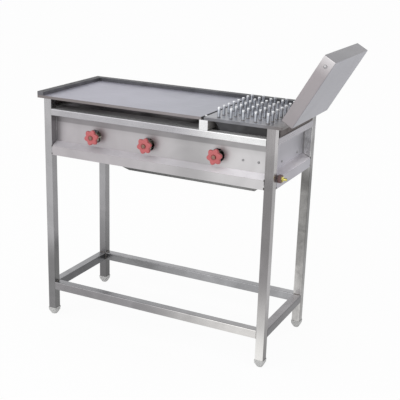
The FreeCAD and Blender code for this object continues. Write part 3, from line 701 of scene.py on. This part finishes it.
tail = nozzle_high.x - spigot_length
hexagon_back = tail - hexagon_length
nozzle_rings = [
    nozzle_ring(nozzle_low.x, shank, 0),
    nozzle_ring(hexagon_back, shank, 0),
    nozzle_ring(hexagon_back, hexagon_half - 0.0004, 0.9),
    nozzle_ring(hexagon_back + hexagon_edge, hexagon_half, 1),
    nozzle_ring(tail - 0.0006, hexagon_half, 1),
    nozzle_ring(tail, hexagon_half - hexagon_edge, 0.5),
    nozzle_ring(tail, 0.0044, 0),
]
barb = spigot_length / 3
for i in range(3):
    start = tail + i * barb
    nozzle_rings.append(nozzle_ring(start + 0.12 * barb, barb_root, 0))
    nozzle_rings.append(nozzle_ring(start + 0.30 * barb, barb_crest, 0))
    nozzle_rings.append(nozzle_ring(start + 0.98 * barb, barb_foot, 0))
nozzle_rings.append(nozzle_ring(nozzle_high.x, mouth, 0))
nozzle_rings.append(nozzle_ring(nozzle_high.x, bore + 0.0001, 0))
nozzle_rings.append(nozzle_ring(tail, bore, 0))
nozzle = make_piece("hose_barb", [sleeve(nozzle_rings)], brass, "stand", 30)
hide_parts("hose_nozzle")


# Burners. Cast-iron tubes with a bell mouth and sawn flame ports, lying in notches of two zinc-plated
# steel angles that are screwed to the side panels.

clothe(moulding("burner_iron", (0.075, 0.07, 0.068), (0.035, 0.033, 0.032), (0.6, 0.85), 1.0),
       "burner_left", "burner_middle", "burner_puffer")
clothe(zinc_plate, "burner_carrier_front", "burner_carrier_rear")


# Screws. Zinc-plated pan heads with a cross recess: six dulled ones in the panels, for the hood tabs
# and the burner rails, and two rubbed bright through the plate seam into the bearer.

head_radius = 0.0045
head_height = 0.0026
shank_radius = 0.0024
arm_half = 0.00055
arm_reach = 0.0026
recess = 0.0012


def screw_head(centre, outward, length, spin):
    """Domed head with a cross sunk in it, on a plain shank."""
    centre = Vector(centre)
    turn = Vector(outward).to_track_quat("Z", "Y").to_matrix()
    crown = [(arm_half * math.sqrt(2), True), (0.5 * arm_reach, True), (arm_reach, True),
             (arm_reach * 1.02, False), (0.8 * head_radius, False), (0.96 * head_radius, False)]
    rings = []
    for radius, sunk in crown:
        height = head_height * (1 - 0.75 * (radius / head_radius) ** 2.4)
        edge = math.asin(min(arm_half / radius, math.sqrt(0.5)))
        ring = []
        for quarter in range(4):
            base = spin + quarter * math.pi / 2
            for angle, low in ((-edge, False), (-edge, sunk), (edge, sunk), (edge, False),
                               (0.6 * edge + 0.4 * math.pi / 4, False), (math.pi / 4, False)):
                if angle == math.pi / 4:
                    angle = min(math.pi / 4, math.pi / 2 - edge)
                z = head_height - recess if low else height
                spoke = Vector((radius * math.cos(base + angle), radius * math.sin(base + angle), z))
                ring.append(centre + turn @ spoke)
        rings.append(ring)
    skirt = [(head_radius, 0.22 * head_height), (head_radius, 0.0)]
    shank = [(shank_radius, 0.0), (shank_radius, -length)]
    for radius, z in skirt + shank:
        ring = []
        for quarter in range(4):
            base = spin + quarter * math.pi / 2
            for angle in (-0.16, -0.08, 0.08, 0.16, 0.45, 0.8):
                spoke = Vector((radius * math.cos(base + angle), radius * math.sin(base + angle), z))
                ring.append(centre + turn @ spoke)
        rings.append(ring)
    return sleeve(rings[::-1])


leftward = (-1, 0, 0)
forward = (0, -1, 0)
ledge_reach = 0.032
wall_y = front_low.y + ledge_reach
hood_screw_xs = (0.2548, 0.3118)
hood_screw_z = 0.736
carrier_screw_z = 0.717
carrier_half = 0.011
sheet = 0.0012
panel_screw_length = 0.009
plate_screw_length = 0.014
panel_heads = []
for i, x in enumerate(hood_screw_xs):
    panel_heads.append(screw_head((x, wall_y, hood_screw_z), forward, panel_screw_length, 0.7 * i))
for i, carrier in enumerate(("burner_carrier_front", "burner_carrier_rear")):
    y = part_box(carrier)[0].y + carrier_half
    sides = [
        (right_low.x + sheet, rightward, 0.4 + 0.5 * i),
        (left_high.x - sheet, leftward, 0.9 + 0.3 * i),
    ]
    for x, outward, spin in sides:
        panel_heads.append(screw_head((x, y, carrier_screw_z), outward, panel_screw_length, spin))
dull_zinc = polished("dull_zinc", (0.32, 0.32, 0.325), (0.36, 0.36, 0.365), (rise, 0.70, 0.75),
                     (90, 90, 90), 200.0, 0.3, (0.4, 0.55), 0.2)
panel_screw_piece = make_piece("panel_screw_heads", panel_heads, dull_zinc, "stand")
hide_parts("panel_screws")
screw_low, screw_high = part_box("plate_screws")
seam_middle = (screw_low.x + screw_high.x) / 2
plate_heads = []
head_seat = screw_high.z - head_height
for i, y in enumerate((screw_low.y + head_radius, screw_high.y - head_radius)):
    plate_heads.append(screw_head((seam_middle, y, head_seat), rise, plate_screw_length, 0.5 * i))
worn_zinc = polished("worn_zinc", (0.80, 0.80, 0.81), (0.86, 0.86, 0.87), (rise, 0.86, 0.88),
                     (90, 90, 90), 200.0, 0.15, (0.25, 0.4), 0.15)
plate_screw_piece = make_piece("plate_screw_heads", plate_heads, worn_zinc, "stand")
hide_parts("plate_screws")


# Cooking plates. Two ground mild-steel plates side by side, their tops polished bluish bright and
# their sawn edges and undersides left brown with scale. The puffer plate is duller and a little darker,
# and its top is painted darker towards the hinge as painted shade. Both plates are darker, dull and not
# metallic along the joint between them.

under_scale = (0.16, 0.15, 0.145)
seam_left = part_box("griddle_plate")[1].x
clothe(polished("griddle_polish", (0.225, 0.205, 0.205), (0.26, 0.24, 0.245), (rightward, -0.4, 0.1),
                (14, 320, 320), 5.0, 0.06, (0.3, 0.45), 0.1,
                [(rise, (0.385, 0.38, 0.445), (0.355, 0.36, 0.415)),
                 (fall, under_scale, under_scale)],
                [(rightward, seam_left - 0.0055, seam_left - 0.0035, 0.10)], (rise, 0.5)),
       "griddle_plate")
# The puffer plate's top is painted darker towards the hinge as painted shade.
clothe(polished("puffer_plate_painted_shade", (0.20, 0.20, 0.215), (0.20, 0.185, 0.185),
                (rightward, 0.30, 0.40), (14, 320, 320), 12.0, 0.14, (0.3, 0.45), 0.12,
                [(rise, (0.345, 0.347, 0.372), (0.22, 0.206, 0.209)),
                 (fall, under_scale, under_scale)],
                [(leftward, -seam_left - 0.0070, -seam_left - 0.0050, 0.10)]), "puffer_plate")
eased(0.0006, "griddle_plate", "puffer_plate")


# Rim bars and side strips. Dark hot-rolled flat bar welded along the left and rear edges of the
# plates, and thinner bar under the plates along both sides, seamed to the side rails below.

rim_left_scale = polished("rim_left_scale", (0.17, 0.168, 0.18), (0.17, 0.168, 0.18),
                          (backward, -0.2, 0.2), (40, 40, 40), 14.0, 0.16, (0.45, 0.65), 0.25,
                          [(rise, (0.085, 0.085, 0.09), (0.08, 0.08, 0.085))], (), (rise, 0.15))
rim_rear_scale = polished("rim_rear_scale", (0.14, 0.14, 0.15), (0.105, 0.106, 0.115),
                          (rightward, -0.5, 0.4), (40, 40, 40), 14.0, 0.16, (0.5, 0.7), 0.25,
                          [(rise, (0.12, 0.12, 0.127), (0.115, 0.117, 0.124))], (), (rise, 0.15))
for scale in (rim_left_scale, rim_rear_scale):
    scale.node_tree.nodes["Principled BSDF"].inputs["Specular IOR Level"].default_value = 0.2
clothe(rim_left_scale, "rim_left")
clothe(rim_rear_scale, "rim_rear_griddle", "rim_rear_puffer")
clothe(polished("strip_scale", (0.10, 0.082, 0.08), (0.12, 0.10, 0.098), (backward, -0.2, 0.2),
                (40, 40, 40), 14.0, 0.2, (0.4, 0.6), 0.25), "side_strips")
eased(0.0006, "rim_left", "rim_rear_griddle", "rim_rear_puffer")
strips_low, strips_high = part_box("side_strips")
strip_half = 0.0015
strip_seam = 0.0024
seam_z = strips_low.z - strip_half
strip_seams = []
for x in (strips_low.x + strip_half, strips_high.x - strip_half):
    strip_seams.append(bead((x, strips_low.y, seam_z), (x, strips_high.y, seam_z), strip_seam))
make_piece("strip_seams", strip_seams, tack_steel, "stand")


# Puffer pins. Forty turned steel studs with a chamfered top, standing in five rows of eight on the
# puffer plate, each in a small uneven collar of weld.

pins_low, pins_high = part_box("puffer_pins")
# The studs are painted darker low down as painted shade between them, and bright near the top as a
# painted highlight on the caps.
clothe(polished("pin_steel", (0.49, 0.51, 0.55), (0.85, 0.86, 0.88),
                (rise, pins_high.z - 0.010, pins_high.z - 0.003),
                (90, 90, 900), 60.0, 0.18, (0.3, 0.45), 0.15), "puffer_pins")
plate_top = pins_low.z
pin_columns = 5
pin_rows = 8
pin_radius = 0.0050
collar = [(0.0019, -0.0003), (0.0017, 0.0004), (0.0010, 0.0009), (0.0004, 0.0016), (-0.0004, 0.0024)]
collar_points = 20
pin_welds = []
for i in range(pin_columns):
    x = pins_low.x + pin_radius + (pins_high.x - pins_low.x - 2 * pin_radius) * i / (pin_columns - 1)
    for j in range(pin_rows):
        y = pins_low.y + pin_radius + (pins_high.y - pins_low.y - 2 * pin_radius) * j / (pin_rows - 1)
        rings = []
        for out, up in collar:
            ring = []
            for k in range(collar_points):
                angle = 2 * math.pi * k / collar_points
                wander = 1 + 0.16 * math.sin(3 * angle + 1.7 * i + 2.3 * j)
                wander += 0.09 * math.sin(7 * angle + i * j)
                reach = pin_radius + out * (wander if out > 0 else 1)
                z = plate_top + up * wander
                ring.append((x + reach * math.cos(angle), y + reach * math.sin(angle), z))
            rings.append(ring)
        pin_welds.append(sleeve(rings))
pin_heat = polished("pin_weld_scale", (0.15, 0.14, 0.14), (0.20, 0.185, 0.18), (rightward, 0.15, 0.40),
                    (300, 300, 300), 90.0, 0.3, (0.35, 0.55), 0.3)
make_piece("pin_welds", pin_welds, pin_heat, "stand", 60)


# Lid and hinge. A shallow box of folded stainless sheet, dulled inside by the heat, with a stud through
# its front wall. Two ears carry it on a rod that turns in two barrels welded on the puffer plate.

lid_up = (0.5, 0, 0.866)
lid_cover = (0.866, 0, -0.5)
lid_inside = (-0.866, 0, 0.5)
# The lid's front wall brightens to a painted highlight near its top end, and its end wall is painted
# darker as painted shade.
clothe(polished("lid_painted_light", (0.33, 0.306, 0.316), (0.61, 0.592, 0.60), (lid_up, 1.16, 1.25),
                (2200, 15, 2200), 6.0, 0.06, (0.3, 0.38), 0.03,
                [(lid_cover, (0.31, 0.308, 0.345), (0.335, 0.335, 0.372)),
                 (lid_up, (0.24, 0.236, 0.25), (0.24, 0.236, 0.25)),
                 (lid_inside, (0.27, 0.255, 0.245), (0.30, 0.285, 0.28))], (), (lid_inside, 0.15)),
       "lid_shell")
for name in ("lid_shell", "lid_stud"):
    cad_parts[name].modifiers.new("joined", "WELD").merge_threshold = 2e-6
clothe(polished("ear_sheet", (0.34, 0.33, 0.33), (0.40, 0.39, 0.40), (lid_up, 0.95, 1.0),
                (200, 200, 200), 20.0, 0.1, sheet_sheen, 0.1), "lid_ear_front", "lid_ear_rear")
bright_steel = polished("bright_steel", (0.42, 0.41, 0.42), (0.48, 0.475, 0.485), (backward, -0.2, 0.2),
                        (80, 80, 80), 30.0, 0.12, (0.15, 0.28), 0.1)
clothe(bright_steel, "lid_stud", "hinge_rod", "hinge_barrel_front", "hinge_barrel_rear")
barrel_beads = []
bead_inset = 0.0026
bead_margin = 0.003
bead_rise = 0.0008
barrel_bead = 0.0018
for name in ("hinge_barrel_front", "hinge_barrel_rear"):
    low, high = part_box(name)
    z = low.z + bead_rise
    for x in (low.x + bead_inset, high.x - bead_inset):
        ends = (x, low.y + bead_margin, z), (x, high.y - bead_margin, z)
        barrel_beads.append(bead(*ends, barrel_bead))
make_piece("barrel_welds", barrel_beads, pin_heat, "stand")


# Star knobs. Red moulded handwheels with six lobes, a hub behind and a round recess in front, each
# held on its valve spindle by a browned nut.

knob_red = moulding("knob_red", (0.515, 0.123, 0.128), (0.42, 0.092, 0.097), (0.3, 0.45), 0.25)
knob_crest = 0.0295
knob_valley = 0.0225
knob_turn = math.radians(14)
lobes = 6
axis_drop = 0.011
knob_points = 96
# Radius, share of the star outline, and distance from the back, from the bore round to the recess
knob_shape = [
    (0.0041, 0, 0.0), (0.0094, 0, 0.0), (0.0100, 0, 0.0006), (0.0100, 0, 0.0060), (0.0115, 0.05, 0.0070),
    (0.0170, 0.45, 0.0071), (0.0205, 0.85, 0.0076), (0.0220, 0.97, 0.0088), (0.0225, 1.0, 0.0104),
    (0.0225, 1.0, 0.0142), (0.0221, 0.98, 0.0164), (0.0211, 0.93, 0.0181), (0.0196, 0.85, 0.0192),
    (0.0178, 0.72, 0.0197), (0.0155, 0.45, 0.0198), (0.0132, 0.15, 0.0194), (0.0119, 0.0, 0.0195),
    (0.0112, 0, 0.0199), (0.0104, 0, 0.0199), (0.0100, 0, 0.0195), (0.0099, 0, 0.0178),
    (0.0094, 0, 0.0175), (0.0041, 0, 0.0175),
]


def star_ring(centre, radius, lobed, out):
    """Ring round a knob's axis; lobed gives how much of the star outline it follows."""
    ring = []
    for j in range(knob_points):
        angle = 2 * math.pi * j / knob_points
        wave = (0.5 + 0.5 * math.cos(lobes * (angle - knob_turn))) ** 0.75
        star = knob_valley + (knob_crest - knob_valley) * wave
        reach = radius + lobed * (star - knob_valley)
        x = centre.x + reach * math.cos(angle)
        z = centre.z + reach * math.sin(angle)
        ring.append((x, centre.y - out, z))
    return ring


for name in ("left", "middle", "puffer"):
    low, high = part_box("knob_" + name)
    back = Vector(((low.x + high.x) / 2, high.y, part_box("valve_middle")[1].z - axis_drop))
    rings = [star_ring(back, radius, lobed, out) for radius, lobed, out in knob_shape]
    body = "knob_" + name
    knob = make_piece("star_knob_" + name, [sleeve(rings, True)], knob_red, body, 50)
    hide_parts(body)
browned_steel = polished("browned_steel", (0.24, 0.15, 0.12), (0.28, 0.175, 0.14), (rise, 0.73, 0.75),
                         (200, 200, 200), 150.0, 0.25, (0.35, 0.5), 0.3)
clothe(browned_steel, "spindle_left", "spindle_middle", "spindle_puffer")


# Studio. A wide white floor that keeps a faint shadow, an even white surround, one soft key lamp and
# the camera, which stands a little to the right and above, as in the photograph.

def white_when_seen(tree, share):
    """Factor that is the share for camera, mirror and glass rays and 0 for the light itself."""
    path = tree.nodes.new("ShaderNodeLightPath")
    first = tree.nodes.new("ShaderNodeMath")
    first.operation = "MAXIMUM"
    second = tree.nodes.new("ShaderNodeMath")
    second.operation = "MAXIMUM"
    amount = tree.nodes.new("ShaderNodeMath")
    amount.operation = "MULTIPLY"
    amount.inputs[1].default_value = share
    wire(tree, path, "Is Camera Ray", first, 0)
    wire(tree, path, "Is Glossy Ray", first, 1)
    wire(tree, first, 0, second, 0)
    wire(tree, path, "Is Transmission Ray", second, 1)
    wire(tree, second, 0, amount, 0)
    return amount


floor_half = 40.0
floor_white_share = 0.93
corners = [(x * floor_half, y * floor_half, 0) for x, y in ((-1, -1), (1, -1), (1, 1), (-1, 1))]
floor_mesh = bpy.data.meshes.new("floor")
floor_mesh.from_pydata(corners, [], [(0, 1, 2, 3)])
floor = bpy.data.objects.new("floor", floor_mesh)
bpy.context.scene.collection.objects.link(floor)
floor_paper = bpy.data.materials.new("floor_paper")
floor_paper.use_nodes = True
floor_tree = floor_paper.node_tree
floor_shader = floor_tree.nodes["Principled BSDF"]
floor_shader.inputs["Base Color"].default_value = (0.93, 0.93, 0.93, 1.0)
floor_shader.inputs["Roughness"].default_value = 0.9
floor_shader.inputs["Specular IOR Level"].default_value = 0.1
floor_white = floor_tree.nodes.new("ShaderNodeEmission")
floor_mix = floor_tree.nodes.new("ShaderNodeMixShader")
wire(floor_tree, white_when_seen(floor_tree, floor_white_share), 0, floor_mix, 0)
wire(floor_tree, floor_shader, 0, floor_mix, 1)
wire(floor_tree, floor_white, 0, floor_mix, 2)
wire(floor_tree, floor_mix, 0, floor_tree.nodes["Material Output"], "Surface")
floor_mesh.materials.append(floor_paper)

world = bpy.data.worlds.new("studio")
bpy.context.scene.world = world
world.use_nodes = True
world_tree = world.node_tree
surround = world_tree.nodes["Background"]
surround.inputs["Color"].default_value = (1.0, 1.0, 1.0, 1.0)
surround.inputs["Strength"].default_value = 0.8
seen_surround = world_tree.nodes.new("ShaderNodeBackground")
seen_surround.inputs["Color"].default_value = (1.0, 1.0, 1.0, 1.0)
seen_surround.inputs["Strength"].default_value = 1.0
world_mix = world_tree.nodes.new("ShaderNodeMixShader")
wire(world_tree, white_when_seen(world_tree, 1.0), 0, world_mix, 0)
wire(world_tree, surround, 0, world_mix, 1)
wire(world_tree, seen_surround, 0, world_mix, 2)
wire(world_tree, world_mix, 0, world_tree.nodes["World Output"], "Surface")

key = bpy.data.lights.new("key", "AREA")
key.shape = "RECTANGLE"
key.size = 5.6
key.size_y = 3.8
key.energy = 65.0
key_lamp = bpy.data.objects.new("key", key)
key_lamp.location = (-0.8, -3.6, 2.4)
aim = Vector((0, 0, 0.7)) - key_lamp.location
key_lamp.rotation_euler = aim.to_track_quat("-Z", "Y").to_euler()
bpy.context.scene.collection.objects.link(key_lamp)

lens = bpy.data.cameras.new("camera")
lens.sensor_width = 36.0
lens.lens = 77.99
lens.clip_end = 100.0
camera = bpy.data.objects.new("camera", lens)
yaw = math.radians(25.937)
pitch = math.radians(17.729)
roll = math.radians(1.775)
camera_place = (1.35958, -2.75722, 1.49058)
turn = Matrix.Rotation(yaw, 4, "Z") @ Matrix.Rotation(math.pi / 2 - pitch, 4, "X")
turn = turn @ Matrix.Rotation(roll, 4, "Z")
camera.matrix_world = Matrix.Translation(camera_place) @ turn
bpy.context.scene.collection.objects.link(camera)
bpy.context.scene.camera = camera
bpy.context.scene.view_settings.view_transform = "Standard"
